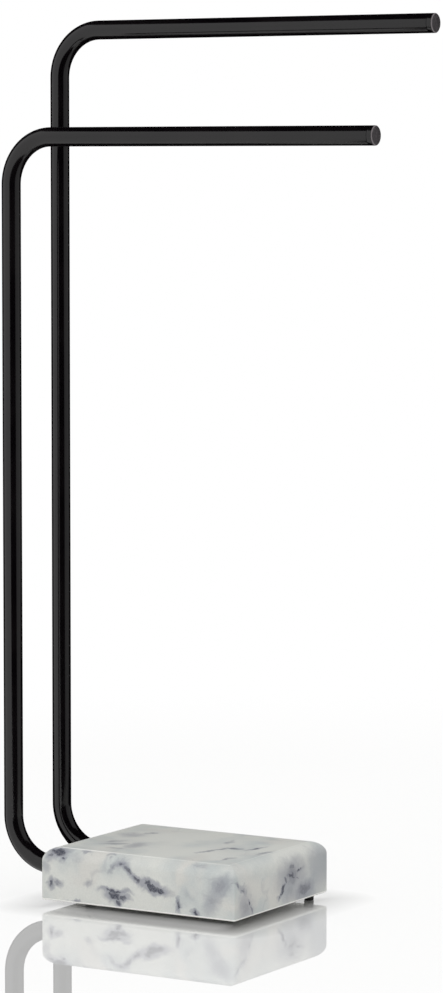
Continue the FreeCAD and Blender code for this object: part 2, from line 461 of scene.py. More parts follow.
@dataclass(frozen=True)
class PaintedPlug(Finish):
    """Painted turned metal: black sides like the rail, a greyer brushed face, and a painted highlight
    on its bevelled rim.
    """

    name: str = "painted_turned_metal_plug"
    side_colour: str = "#070507"
    face_colour: str = "#3F3A3D"
    face_groove: str = "#2C282B"
    # the colour of the painted highlight on the rim's bevel
    rim_highlight: str = "#6E686B"
    roughness: tuple[float, float] = (0.18, 0.42)        # the side's, and the face's
    ior: float = 1.5
    rim: tuple[float, float] = (0.35, 0.55)      # how far a surface looks along X, on the rim
    face: tuple[float, float] = (0.9, 0.98)      # and on the face
    flecks: Patches = Patches(2.5, (0.35, 0.65), detail=3.0)
    gloss: Patches = Patches(2.5, (0.3, 0.7, -0.04, 0.04), detail=3.0)
    turning_marks: Relief = Relief(0.9, depth=0.01, strength=0.3, detail=1.0)

    def sockets(self, add: Adder, place: Socket) -> dict[str, object]:
        """Sides, rim and face told apart by the way they look along X."""
        along = add(Node.SPLIT, (add(Node.GEOMETRY, output="True Normal"),))
        on_rim = add(Node.RANGE, (along, *self.rim), **SOFT)
        on_face = add(Node.RANGE, (along, *self.face), **SOFT)
        flecks = (self.flecks.lay(add, place), linear(self.face_groove))
        face = layered(add, linear(self.face_colour), flecks)
        # painted highlight on the rim's bevel
        rim = (on_rim, linear(self.rim_highlight))
        roughness = add(Node.RANGE, (on_rim, 0.0, 1.0, *self.roughness), **SOFT)
        return {
            "Base Color": layered(add, linear(self.side_colour), rim, (on_face, face)),
            "Roughness": add(Node.MATH, (roughness, self.gloss.lay(add, place)), operation="ADD"),
            "Normal": self.turning_marks.lay(add, place),
            "IOR": self.ior,
        }


@dataclass(frozen=True)
class Cloud:
    """One dark mineral cloud or vein in the stone, a soft ellipsoid broken up by grain."""

    centre: tuple[float, float, float]
    radii: tuple[float, float, float]
    strength: float
    tilt: float = 0.0                # degrees


CLOUDS = {                           # by the axis that they are tilted about
    # on the front, from its left end to its right, and on the back
    Axis.Y: (
        Cloud((-128, -86, 55), (12, 10, 6), 0.95, 8),
        Cloud((-119, -87, 50), (5, 8, 4), 0.9, 40),
        Cloud((-135, -87, 52), (6, 8, 6), 0.8),
        Cloud((-140, -88, 40), (5, 8, 7), 0.55),
        Cloud((-106, -90, 53), (9, 8, 3.2), 0.36),
        Cloud((-96, -88, 58.5), (6, 8, 1.8), 0.8, 4),
        Cloud((-67, -90, 58), (6.5, 8, 2.0), 1.0, 4),
        Cloud((-66, -90, 42), (4.5, 8, 3), 0.55),
        Cloud((-61, -90, 48), (3, 8, 7), 0.65, 30),
        Cloud((-53, -90, 51), (7.5, 8, 4.5), 0.85),
        Cloud((-50, -90, 57), (7.5, 8, 2.4), 0.6, -12),
        Cloud((-45, -90, 45.5), (9, 8, 3.4), 0.8, 44),
        Cloud((-35.5, -90, 38), (9, 8, 3.8), 0.9, 38),
        Cloud((-15.5, -90, 31.5), (17, 9, 5.6), 1.12, 12),
        Cloud((-6, -90, 29), (8, 8, 4.0), 1.0, 12),
        Cloud((-60, -90, 24), (16, 8, 2.8), 0.95),
        Cloud((-60, -90, 19.5), (11, 9, 6), 1.05),
        Cloud((-50, -90, 17), (8, 8, 3.6), 0.85),
        Cloud((-57, -90, 13.5), (4, 8, 4), 0.85),
        Cloud((-91, -90, 28), (5, 8, 3.6), 0.6),
        Cloud((-134, -90, 23.5), (4.4, 8, 5.4), 0.95),
        Cloud((-126, -90, 24), (5, 8, 4), 0.68),
        Cloud((-107, -90, 8.6), (7, 6, 2), 0.75),
        Cloud((12.5, -90, 17.5), (2.6, 8, 7), 1.0, -14),
        Cloud((33, -90, 10.5), (5, 8, 3.4), 1.0),
        Cloud((33, -88, 57), (9, 8, 2.4), 0.5),
        Cloud((60, -90, 39), (15, 8, 8), 0.62, -36),
        Cloud((51, -90, 25), (9, 7, 13), 0.6, 14),
        Cloud((52, 88, 46), (16, 8, 7), 1.0, 24),
        Cloud((34, 90, 37), (12, 8, 3.6), 0.9, 34),
        Cloud((-22, 90, 30), (13, 8, 5), 1.05, -20),
        Cloud((-48, 90, 21), (12, 8, 3.4), 0.85, -30),
        Cloud((-118, 88, 33), (16, 9, 12), 0.6),
    ),
    # on the right side, from its near end to its far end, and on the left side
    Axis.X: (
        Cloud((76.75, -85, 42), (5, 6, 2.4), 0.7, -33),
        Cloud((76.75, -74, 35), (5, 10, 4), 0.72, -33),
        Cloud((76.75, -62, 22.5), (5, 2.6, 5), 1.1, 22),
        Cloud((76.75, -58, 14), (5, 2.4, 7), 0.72, 18),
        Cloud((76.75, -69, 17), (5, 13, 15), 0.62),
        Cloud((76.75, 20, 34), (8, 28, 18), 0.66),
        Cloud((76.75, 20, 42.5), (6, 7, 6), 0.72),
        Cloud((76.75, 34, 38.5), (6, 10, 2.8), 0.88),
        Cloud((76.75, 18, 35), (6, 10, 3), 1.0, -5),
        Cloud((76.75, 31, 31), (6, 4, 3), 0.75),
        Cloud((76.75, 6, 33), (6, 3.2, 6), 0.8, 35),
        Cloud((76.75, 1, 24), (6, 3.6, 12), 0.95, -40),
        Cloud((76.75, -6, 16), (6, 3.4, 3.4), 0.95),
        Cloud((76.75, 44, 17), (7, 24, 11), 0.74, 8),
        Cloud((76.75, 17, 20), (7, 15, 11), 0.6),
        Cloud((76.75, 74, 36), (8, 26, 26), 0.5),
        Cloud((74, 54, 57.5), (4, 4, 2), 0.95),
        Cloud((76, 67, 48), (5, 12, 4), 0.5, -38),
        Cloud((-145.25, 8, 40), (6, 16, 5), 1.0, -28),
    ),
    # on top
    Axis.Z: (
        Cloud((7, -24, 59), (3, 14, 4), 0.7, -14),
        Cloud((12, -6, 59), (3, 11, 4), 0.66, -25),
        Cloud((21, 1, 59), (10, 4, 4), 0.72, 8),
        Cloud((40, 14, 59), (3.4, 14, 4), 0.78, -13),
        Cloud((59, -4, 59), (3.4, 12, 4), 0.66, -9),
        Cloud((46, -50, 59), (3, 10, 4), 0.66, -9),
        Cloud((-2, 31, 59), (3.4, 12, 4), 0.55, 18),
        Cloud((-94, -36, 59), (14, 5, 4), 0.6, 25),
        Cloud((-103, -24, 59), (9, 4, 4), 0.58, 40),
        Cloud((-79, -55, 59), (8, 3.4, 4), 0.58, 30),
        Cloud((-71, -33, 59), (9, 14, 4), 0.56),
        Cloud((-107, 17, 59), (14, 12, 4), 0.52),
        Cloud((-96, 34, 59), (9, 3.4, 4), 0.62, 30),
    ),
}


@dataclass(frozen=True)
class HonedMarble(Finish):
    """Honed marble: warm white stone with blue-grey clouds, a soft, even sheen, and painted
    highlights along its edges.
    """

    name: str = "honed_marble_grey_veined"
    body: str = "#CFD0CB"
    cool_cloud: str = "#BABFBE"
    warm_cloud: str = "#CBCAC5"
    haze: str = "#8A8C96"
    dark: str = "#40424F"
    # painted highlight colour, for the lines along the top's outline and the bottom edge
    edge_highlight: str = "#F0F0EC"
    roughness: float = 0.42
    ior: float = 1.56                # calcite's, about the middle of its two
    specular_level: float = 0.3      # a honed face throws back less than a polished one
    cool: Patches = Patches(70.0, (0.42, 0.66), detail=3.0)
    warm: Patches = Patches(56.0, (0.5, 0.72), distortion=0.6)
    blotches: Patches = Patches(34.0, (0.6, 0.8, 0.0, 0.7), detail=3.0, distortion=0.4)
    groups: Patches = Patches(90.0, (0.5, 0.68), detail=1.0)       # where the blotches gather
    specks: Patches = Patches(2.0, (0.36, 0.6, 0.7, 1.0), detail=3.0, roughness=0.6)
    mottle: Patches = Patches(1.6, (0.3, 0.7, -0.03, 0.03))        # of roughness and brightness
    grain: Relief = Relief(2.2, depth=0.03, strength=0.1, detail=0.0, kind=Node.CELLS)
    wave: tuple[float, float] = (14.0, 6.0)      # a slow push at every edge: its size and reach
    fray: tuple[float, float] = (4.5, 3.0)       # and a finer one at the clouds' edges
    core: tuple[float, float] = (1.22, 0.25)     # in a cloud's radii, where its core sets in
    halo: tuple[float, float] = (1.9, 0.4)       # and its haze
    core_span: tuple[float, ...] = (0.5, 0.95, 0.0, 0.96)          # how dark a core gets
    halo_span: tuple[float, ...] = (0.0, 0.9, 0.0, 0.8)            # and how grey the haze
    vein: Mapping[str, float] = field(default_factory=lambda: {
        "Scale": per_mm(110.0), "Detail": 3.0, "Roughness": 0.55, "Distortion": 0.5,
    })
    vein_span: tuple[float, ...] = (0.014, 0.0, 0.0, 0.22)         # a thin vein's width and depth
    vein_gaps: Patches = Patches(55.0, (0.5, 0.66))                # where it comes and goes
    arris_width: float = 3.0         # the painted highlight band that runs along the top's long edges
    arris_start: tuple[float, float] = (-0.1, 0.1)       # where it begins, in its width
    arris_end: tuple[float, float] = (1.0, 0.4)          # and ends
    arris_slimmer: float = 3.4       # how much slimmer it is along the short edges
    arris_height: tuple[float, float] = (-1.5, -1.0)     # from the top, where it ends below
    arris_fade: tuple[float, ...] = (-70.0, 0.0, 0.85, 0.36)       # two places along X, and shares
    # breaks up the painted highlight along the top's outline
    highlight_breakup: Patches = Patches(18.0, (0.35, 0.6, 0.5, 1.0))
    foot_line: tuple[float, float] = (2.2, 1.2)          # above the underside, a painted highlight line too
    foot_line_share: float = 0.95

    def sockets(self, add: Adder, place: Socket) -> dict[str, object]:
        """Body clouds, dark clusters, thin veins, painted edge highlights and crystal grain."""
        warped = self.warp(add, place, *self.wave)
        ragged = self.warp(add, warped, *self.fray)
        cluster, halo = self.cluster_masks(add, ragged)
        haze = add(Node.RANGE, (halo, *self.halo_span), **SOFT)
        core = add(Node.RANGE, (cluster, *self.core_span), **SOFT)
        flecked = add(Node.MATH, (core, self.specks.lay(add, place)), operation="MULTIPLY")
        colour = layered(
            add, linear(self.body),
            (self.cool.lay(add, warped), linear(self.cool_cloud)),
            (self.warm.lay(add, warped), linear(self.warm_cloud)),
            (haze, linear(self.haze)),
            (flecked, linear(self.dark)),
            (self.thin_veins(add, warped), linear(self.haze)),
            (self.painted_edge_highlights(add, place), linear(self.edge_highlight)),
        )
        swing = self.mottle.lay(add, place)
        value = add(Node.MATH, (swing, 1.0), operation="ADD")
        return {
            "Base Color": add(Node.VALUE_SHIFT, {"Color": colour, "Value": value}),
            "Roughness": add(Node.MATH, (swing, self.roughness), operation="ADD"),
            "Normal": self.grain.lay(add, place),
            "IOR": self.ior,
            "Specular IOR Level": self.specular_level,
        }

    def warp(self, add: Adder, place: Socket, size: float, reach: float) -> Socket:
        """Pushes places about, so that clouds and veins get natural edges.

        Args:
            add: adds a node to the tree.
            place: the places to push.
            size: width of the pushes in millimetres.
            reach: how far they push, in millimetres.

        Returns:
            The pushed places.
        """
        push = add(Node.NOISE, {"Vector": place, "Scale": per_mm(size)}, "Color")
        centred = add(Node.VECTOR, (push, 3 * (MID_NOISE,)), operation="SUBTRACT")
        scaled = add(Node.VECTOR, {0: centred, "Scale": reach * 2 * MM}, operation="SCALE")
        return add(Node.VECTOR, (place, scaled), operation="ADD")

    def cluster_masks(self, add: Adder, place: Socket) -> tuple[Socket, Socket]:
        """How deep in a dark cloud a place lies: placed ones, and others over the rest.

        Args:
            add: adds a node to the tree.
            place: the pushed places it reads.

        Returns:
            Two values from 0, clear stone, to 1: the clouds' cores, and their wider haze.
        """
        scattered = (self.blotches.lay(add, place), self.groups.lay(add, place))
        core = add(Node.MATH, scattered, operation="MULTIPLY")
        halo = core
        for axis, clouds in CLOUDS.items():
            for cloud in clouds:
                inputs = {
                    "Vector": place,
                    "Location": Vector(cloud.centre) * MM,
                    "Rotation": axis.direction * math.radians(cloud.tilt),
                    "Scale": Vector(cloud.radii) * MM,
                }
                inside = add(Node.MAPPING, inputs, vector_type="TEXTURE")
                distance = add(Node.VECTOR, (inside,), "Value", operation="LENGTH")
                depth = add(Node.RANGE, (distance, *self.core, 0.0, cloud.strength), **SOFT)
                core = add(Node.MATH, (core, depth), operation="MAXIMUM")
                reach = add(Node.RANGE, (distance, *self.halo, 0.0, cloud.strength), **SOFT)
                halo = add(Node.MATH, (halo, reach), operation="MAXIMUM")
        return core, halo

    def thin_veins(self, add: Adder, place: Socket) -> Socket:
        """Thin grey veins that come and go.

        Args:
            add: adds a node to the tree.
            place: the pushed places it reads.

        Returns:
            How strongly a vein shows.
        """
        level = add(Node.NOISE, {"Vector": place, **self.vein})
        offset = add(Node.MATH, (level, MID_NOISE), operation="SUBTRACT")
        ridge = add(Node.MATH, (offset,), operation="ABSOLUTE")
        line = add(Node.RANGE, (ridge, *self.vein_span), **SOFT)
        return add(Node.MATH, (line, self.vein_gaps.lay(add, place)), operation="MULTIPLY")

    def painted_edge_highlights(self, add: Adder, place: Socket) -> Socket:
        """Painted highlights: a line round the top's outline, where the shoulder's roll sets in, and
        a line along the bottom edge.

        Args:
            add: adds a node to the tree.
            place: the place on the slab.

        Returns:
            How strong the painted highlight is.
        """
        flat_top = SLAB_HALF - Vector((SHOULDER, SHOULDER, 0.0))
        beyond = beyond_outline(add, place, flat_top)
        slimmer = (self.arris_slimmer, 1.0, 1.0)
        slimmed = add(Node.VECTOR, (beyond, slimmer), operation="MULTIPLY")
        beyond_x = add(Node.SPLIT, (slimmed,), "X")
        beyond_y = add(Node.SPLIT, (slimmed,), "Y")
        edge = add(Node.MATH, (beyond_x, beyond_y), operation="MAXIMUM")
        start, end = (
            add(Node.RANGE, (edge, *(share * self.arris_width * MM for share in ends)), **SOFT)
            for ends in (self.arris_start, self.arris_end)
        )
        line = add(Node.MATH, (start, end), operation="MULTIPLY")
        height = add(Node.SPLIT, (place,), "Z")
        heights = ((SLAB.high.z + rise) * MM for rise in self.arris_height)
        upper = add(Node.RANGE, (height, *heights), **SOFT)
        outline = add(Node.MATH, (line, upper), operation="MULTIPLY")
        along = add(Node.SPLIT, (place,), "X")
        # the painted highlight is stronger towards the left end and broken up
        left, right, *shares = self.arris_fade
        fade = add(Node.RANGE, (along, left * MM, right * MM, *shares), **SOFT)
        share = add(Node.MATH, (self.highlight_breakup.lay(add, place), fade), operation="MULTIPLY")
        outline = add(Node.MATH, (outline, share), operation="MULTIPLY")
        heights = ((SLAB.low.z + rise) * MM for rise in self.foot_line)
        lower = add(Node.RANGE, (height, *heights, 0.0, self.foot_line_share), **SOFT)
        return add(Node.MATH, (outline, lower), operation="MAXIMUM")


FINISHES = {
    Slot.MARBLE: HonedMarble(),
    Slot.BLACK_STEEL: POWDER_COATED_STEEL,
    Slot.CAP_METAL: PaintedPlug(),
    Slot.RUBBER_FEET: MOULDED_RUBBER,
    Slot.SLEEVE_PLASTIC: MOULDED_NYLON,
    Slot.FASTENER_STEEL: ZINC_PLATED_STEEL,
}


@cache
def material_of(slot: Slot) -> Material:
    """Builds a slot's material the first time it is asked for."""
    return FINISHES[slot].build()


# ---------------------------------------------------------------- bench work

def deselect_all() -> None:
    """Deselects every object, so that an operator acts on new work alone."""
    for item in list(bpy.context.selected_objects):
        item.select_set(False)
    bpy.context.view_layer.objects.active = None


def take_up(piece: Piece) -> None:
    """Makes one piece the only selected and active one.

    Args:
        piece: the piece.
    """
    deselect_all()
    piece.select_set(True)
    bpy.context.view_layer.objects.active = piece


def begin(name: str, primitive: Callable[..., object], **settings: object) -> Piece:
    """Starts a piece from a primitive, with its place in its mesh.

    Args:
        name: the piece's name.
        primitive: the operator that adds the primitive.
        settings: the operator's settings.

    Returns:
        The piece, in edit mode with everything selected.
    """
    deselect_all()
    primitive(**settings)
    piece = bpy.context.active_object
    piece.name = name
    bpy.ops.object.transform_apply(location=True, rotation=True, scale=True)
    bpy.ops.object.mode_set(mode="EDIT")
    bpy.ops.mesh.select_all(action="SELECT")
    return piece


def extrude(step: Vector) -> None:
    """Extrudes what is selected by a step in millimetres."""
    bpy.ops.mesh.extrude_region_move(TRANSFORM_OT_translate={"value": step * MM})


def select_where(piece: Piece, test: Callable[[Vector], bool]) -> None:
    """In edit mode, selects the vertices whose place passes a test, and nothing else.

    Args:
        piece: the piece in edit mode.
        test: says whether a place in millimetres is wanted.
    """
    bpy.ops.mesh.select_mode(type="VERT")
    shape = bmesh.from_edit_mesh(piece.data)
    for part in (*shape.faces, *shape.edges):
        part.select_set(False)
    for vertex in shape.verts:
        vertex.select_set(test(vertex.co / MM))
    shape.select_flush(True)
    bmesh.update_edit_mesh(piece.data)


def on_ring(axis: Axis, origin: Vector, along: float, radius: float, place: Vector) -> bool:
    """Tells whether a place lies on a ring about an axis.

    Args:
        axis: the way the axis points.
        origin: the axis's point that places along it count from.
        along: the ring's place along it.
        radius: the ring's radius.
        place: the place, in millimetres like the rest.

    Returns:
        Whether it lies there.
    """
    offset = place - origin
    height = offset.dot(axis.direction)
    reach = (offset - axis.direction * height).length
    return abs(height - along) < NEAR and abs(reach - radius) < NEAR


def finish_edit() -> None:
    """Merges doubles, turns every face outwards and leaves edit mode."""
    bpy.ops.mesh.select_all(action="SELECT")
    bpy.ops.mesh.remove_doubles(threshold=NEAR * MM / 10)
    bpy.ops.mesh.normals_make_consistent(inside=False)
    bpy.ops.object.mode_set(mode="OBJECT")


def apply_modifier(piece: Piece, kind: str, **settings: object) -> None:
    """Adds a modifier with its settings and applies it.

    Args:
        piece: the piece it works on.
        kind: the modifier's type.
        settings: its properties by name.
    """
    take_up(piece)
    modifier = piece.modifiers.new(kind.lower(), kind)
    for name, value in settings.items():
        setattr(modifier, name, value)
    bpy.ops.object.modifier_apply(modifier=modifier.name)


def shade(piece: Piece, angle: float = SMOOTH_ANGLE) -> Piece:
    """Shades a piece smooth, save across its crisp edges.

    Args:
        piece: the piece.
        angle: edges sharper than this many degrees stay crisp.

    Returns:
        The piece.
    """
    take_up(piece)
    bpy.ops.object.shade_smooth_by_angle(angle=math.radians(angle))
    return piece


def turned_piece(
    name: str, outline: Outline, axis: Axis, origin: Vector,
    sides: int = FINE_SIDES, ring: bool = False,
) -> Piece:
    """Shapes a round piece from a circle, extruded and widened along its outline.

    Args:
        name: the piece's name.
        outline: (place along the axis, radius) pairs in millimetres, from one end on.
        axis: the way the axis points.
        origin: the axis's point, in millimetres, that places count from.
        sides: how many sides the circle has.
        ring: whether the outline closes on itself round a hole; otherwise both ends
            are closed with a face.

    Returns:
        The piece.
    """
    along, radius = outline[0]
    piece = begin(
        name, bpy.ops.mesh.primitive_circle_add, vertices=sides, radius=radius * MM,
        fill_type="NOTHING", location=(origin + axis.direction * along) * MM, rotation=axis.tilt,
    )
    for next_along, next_radius in outline[1:]:
        extrude(axis.direction * (next_along - along))
        centre = (origin + axis.direction * next_along) * MM
        widening = axis.radial_scale(next_radius / radius)
        bpy.ops.transform.resize(value=widening, center_override=centre)
        along, radius = next_along, next_radius
    first, last = (partial(on_ring, axis, origin, *point) for point in (outline[0], outline[-1]))
    if ring:
        select_where(piece, lambda place: first(place) or last(place))
        bpy.ops.mesh.bridge_edge_loops()
    else:
        for end in (first, last):
            select_where(piece, end)
            bpy.ops.mesh.edge_face_add()
    finish_edit()
    return piece


def cut_away(piece: Piece, *cutters: Piece) -> None:
    """Cuts pieces out of another and removes them.

    Args:
        piece: the piece that is cut.
        cutters: the shapes that are taken out of it.
    """
    for cutter in cutters:
        apply_modifier(piece, "BOOLEAN", operation="DIFFERENCE", object=cutter, solver="EXACT")
        bpy.data.objects.remove(cutter)


def screw_drill(rail: Rail, below: Outline = (), sides: int = HOLE_SIDES) -> Piece:
    """Makes the shape of a rail's screw hole, from the slab's underside to the leg's axis.

    Args:
        rail: the rail.
        below: the outline of a wider part under it.
        sides: how many sides it has.

    Returns:
        The cutter.
    """
    start = below[-1][0] if below else SLAB.low.z
    outline = [*below, (start, PASSAGE_RADIUS), (rail.leg_end.z, PASSAGE_RADIUS)]
    return turned_piece("screw_drill", outline, Axis.Z, rail.screw_axis, sides)


def own_copy(piece: Piece, name: str, shift: Vector) -> Piece:
    """Copies a piece with its own mesh to another place.

    Args:
        piece: the piece to copy.
        name: the copy's name.
        shift: how far the copy lies from it, in millimetres.

    Returns:
        The copy.
    """
    copy = piece.copy()
    copy.data = piece.data.copy()
    copy.name = name
    bpy.context.scene.collection.objects.link(copy)
    copy.data.transform(Matrix.Translation(shift * MM))
    return copy


def dress(piece: Piece, slot: Slot, node: str) -> None:
    """Gives a new piece its finish and says which CAD node it stands for.

    Args:
        piece: the piece.
        slot: the record's material slot that it takes its finish from.
        node: the CAD node that it replaces.
    """
    piece.data.name = piece.name
    piece.data.materials.clear()
    piece.data.materials.append(material_of(slot))
    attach(piece, ROOT_BODY)
    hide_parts(node)
    LOG.info("%s stands for %s", piece.name, node)


def refinish(node: str, slot: Slot) -> None:
    """Gives a CAD node, whose shape stays, a better material.

    Args:
        node: the node's name.
        slot: the record's material slot that it takes its finish from.
    """
    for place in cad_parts[node].material_slots:
        place.material = material_of(slot)
    LOG.info("%s keeps its CAD shape", node)


# ---------------------------------------------------------------- marble slab

@dataclass
class MarbleSlab:
    """The heavy marble slab, its soft shoulders and the holes drilled in it."""

    corner_round: float = 1.6        # a little crisper than the CAD has it
    corner_segments: int = 14
    shoulder_segments: int = 16
    shoulder_turn: float = 80.0      # degrees; the roll stops short of level, in a faint crease
    crease_angle: float = 8.5        # degrees; the roll's own facets are finer than this
    bottom_bevel: float = 1.0
    bore_radius: float = 10.7
    bore_mouth: float = 0.8
    bore_relief: float = 3.0         # how much deeper than the leg the bore is
    counterbore_radius: float = 7.0
    foot_hole_radius: float = 2.6
    foot_hole_relief: float = 1.0
    overcut: float = 0.5             # a cutter starts this far outside the stone

    def build(self) -> None:
        """Builds the slab, drills it and dresses it."""
        slab = self.block()
        cut_away(slab, *self.drills())
        dress(shade(slab, self.crease_angle), Slot.MARBLE, "marble_base")

    def rings(self) -> list[tuple[float, float]]:
        """Works out the slab's rings, from its underside up and over the shoulder.

        Returns:
            The height and the inset of each.
        """
        start = SLAB.high.z - SHOULDER
        rings = [
            (SLAB.low.z, self.bottom_bevel), (SLAB.low.z + self.bottom_bevel, 0.0), (start, 0.0),
        ]
        end = math.radians(self.shoulder_turn)
        for step in range(1, self.shoulder_segments + 1):
            angle = end * step / self.shoulder_segments
            rise = math.sin(angle) / math.sin(end)
            inset = (1 - math.cos(angle)) / (1 - math.cos(end))
            rings.append((start + SHOULDER * rise, SHOULDER * inset))
        return rings

    def block(self) -> Piece:
        """Shapes the slab from a plate: corners rounded, drawn up and drawn in over the top.

        Returns:
            The slab without its holes.
        """
        half = SLAB_HALF
        centre = Vector((SLAB_MIDDLE.x, SLAB_MIDDLE.y, SLAB.low.z)) * MM
        plate = {"size": 2 * half.y * MM, "location": centre}
        slab = begin("honed_marble_slab", bpy.ops.mesh.primitive_plane_add, **plate)
        bpy.ops.transform.resize(value=(half.x / half.y, 1, 1), center_override=centre)
        rounding = {"offset": self.corner_round * MM, "segments": self.corner_segments}
        bpy.ops.mesh.bevel(affect="VERTICES", **rounding)
        bpy.ops.mesh.select_all(action="SELECT")
        height, inset = SLAB.low.z, 0.0
        for next_height, next_inset in self.rings():
            if next_height > height:
                extrude(Vector((0.0, 0.0, next_height - height)))
            centre.z = next_height * MM
            factors = ((side - next_inset) / (side - inset) for side in (half.x, half.y))
            bpy.ops.transform.resize(value=(*factors, 1), center_override=centre)
            height, inset = next_height, next_inset
        finish_edit()
        return slab

    def drills(self) -> list[Piece]:
        """Makes the shapes of all the holes: leg bores, screw passages and foot holes.

        Returns:
            The cutters.
        """
        cutters = []
        start = SLAB.low.z - self.overcut
        washer_top = Box.of("fixing_washers").high.z
        for rail in Rail:
            mouth = self.bore_mouth + self.overcut
            outline = [
                (SLAB.low.x - self.overcut, self.bore_radius + mouth),
                (SLAB.low.x + self.bore_mouth, self.bore_radius),
                (rail.leg_end.x + self.bore_relief, self.bore_radius),
            ]
            axis_place = Vector((0.0, rail.leg_end.y, rail.leg_end.z))
            cutters.append(turned_piece("bore_drill", outline, Axis.X, axis_place))
            below = [(start, self.counterbore_radius), (washer_top, self.counterbore_radius)]
            cutters.append(screw_drill(rail, below, ROUND_SIDES))
        for foot in Foot:
            top = Box.of(f"foot_{foot.value}").high.z + self.foot_hole_relief
            outline = [(start, self.foot_hole_radius), (top, self.foot_hole_radius)]
            cutters.append(turned_piece("foot_drill", outline, Axis.Z, foot.place, ROUND_SIDES))
        return cutters


# ---------------------------------------------------------------- rails

@dataclass
class BentRail:
    """One rail: a bent round tube from the slab to its arm's end, and the end's plug."""

    rail: Rail
    sides: int = 72
    bend_radius: float = 47.0
    bend_steps: int = 28
    wall: float = 1.5
    end_bevel: float = 0.2
    head_bevel: float = 0.8
    seam_bevel: float = 0.3
    edge_break: float = 0.12         # the width of the rounding of the plug's crisp edges
    edge_angle: float = 30.0         # degrees; edges sharper than this are crisp
    spigot_length: float = 14.0
    spigot_radius: float = 7.9
    spigot_bevel: float = 1.0

    def build(self) -> None:
        """Builds and dresses the tube and its plug."""
        name = self.rail.value
        dress(self.tube(), Slot.BLACK_STEEL, f"{name}_rail_tube")
        dress(self.plug(), Slot.CAP_METAL, f"{name}_rail_cap")

    def tube(self) -> Piece:
        """Draws a circle along the rail, bends it by spinning, and gives it its wall.

        Returns:
            The tube, with the screw's hole in its leg.
        """
        leg, arm, box = self.rail.leg_end, self.rail.arm_end, self.rail.box("rail_tube")
        bend_x = box.low.x + TUBE_RADIUS + self.bend_radius
        tube = begin(
            f"{self.rail.value}_bent_tube", bpy.ops.mesh.primitive_circle_add, vertices=self.sides,
            radius=TUBE_RADIUS * MM, fill_type="NOTHING", location=leg * MM, rotation=Axis.X.tilt,
        )
        extrude(Vector((bend_x - leg.x, 0, 0)))
        self.bend(Vector((bend_x, leg.y, leg.z + self.bend_radius)))
        extrude(Vector((0, 0, arm.z - leg.z - 2 * self.bend_radius)))
        self.bend(Vector((bend_x, leg.y, arm.z - self.bend_radius)))
        extrude(Vector((box.high.x - bend_x, 0, 0)))
        finish_edit()
        apply_modifier(tube, "SOLIDIFY", thickness=self.wall * MM, offset=-1.0)
        self.bevel_end(tube)
        cut_away(tube, screw_drill(self.rail))
        return shade(tube)

    def bend(self, centre: Vector) -> None:
        """Spins the open end through a quarter turn.

        Args:
            centre: the bend's centre, in millimetres.
        """
        quarter = {"steps": self.bend_steps, "angle": -math.pi / 2}
        bpy.ops.mesh.spin(center=centre * MM, axis=Axis.Y.direction, **quarter)

    def bevel_end(self, tube: Piece) -> None:
        """Takes the sharp arris off the arm's end, which leaves a fine seam at the plug.

        Args:
            tube: the tube.
        """
        take_up(tube)
        bpy.ops.object.mode_set(mode="EDIT")
        arm = self.rail.arm_end
        end = self.rail.box("rail_tube").high.x - arm.x
        select_where(tube, partial(on_ring, Axis.X, arm, end, TUBE_RADIUS))
        bpy.ops.mesh.bevel(offset=self.end_bevel * MM, segments=EDGE_FACETS, affect="EDGES")
        finish_edit()

    def plug(self) -> Piece:
        """Turns the plug: a bevelled head as wide as the tube, and a spigot inside it.

        Returns:
            The plug.
        """
        arm = self.rail.arm_end
        end, seam = arm.x, self.rail.box("rail_tube").high.x
        start = seam - self.spigot_length
        outline = [
            (start, self.spigot_radius - self.spigot_bevel),
            (start + self.spigot_bevel, self.spigot_radius), (seam, self.spigot_radius),
            (seam, TUBE_RADIUS - self.seam_bevel), (seam + self.seam_bevel, TUBE_RADIUS),
            (end - self.head_bevel, TUBE_RADIUS), (end, TUBE_RADIUS - self.head_bevel),
        ]
        axis_place = Vector((0.0, arm.y, arm.z))
        name = f"{self.rail.value}_turned_plug"
        plug = turned_piece(name, outline, Axis.X, axis_place, self.sides)
        apply_modifier(
            plug, "BEVEL", width=self.edge_break * MM, segments=EDGE_FACETS, limit_method="ANGLE",
            angle_limit=math.radians(self.edge_angle),
        )
        return shade(plug)


# ---------------------------------------------------------------- leg fixing

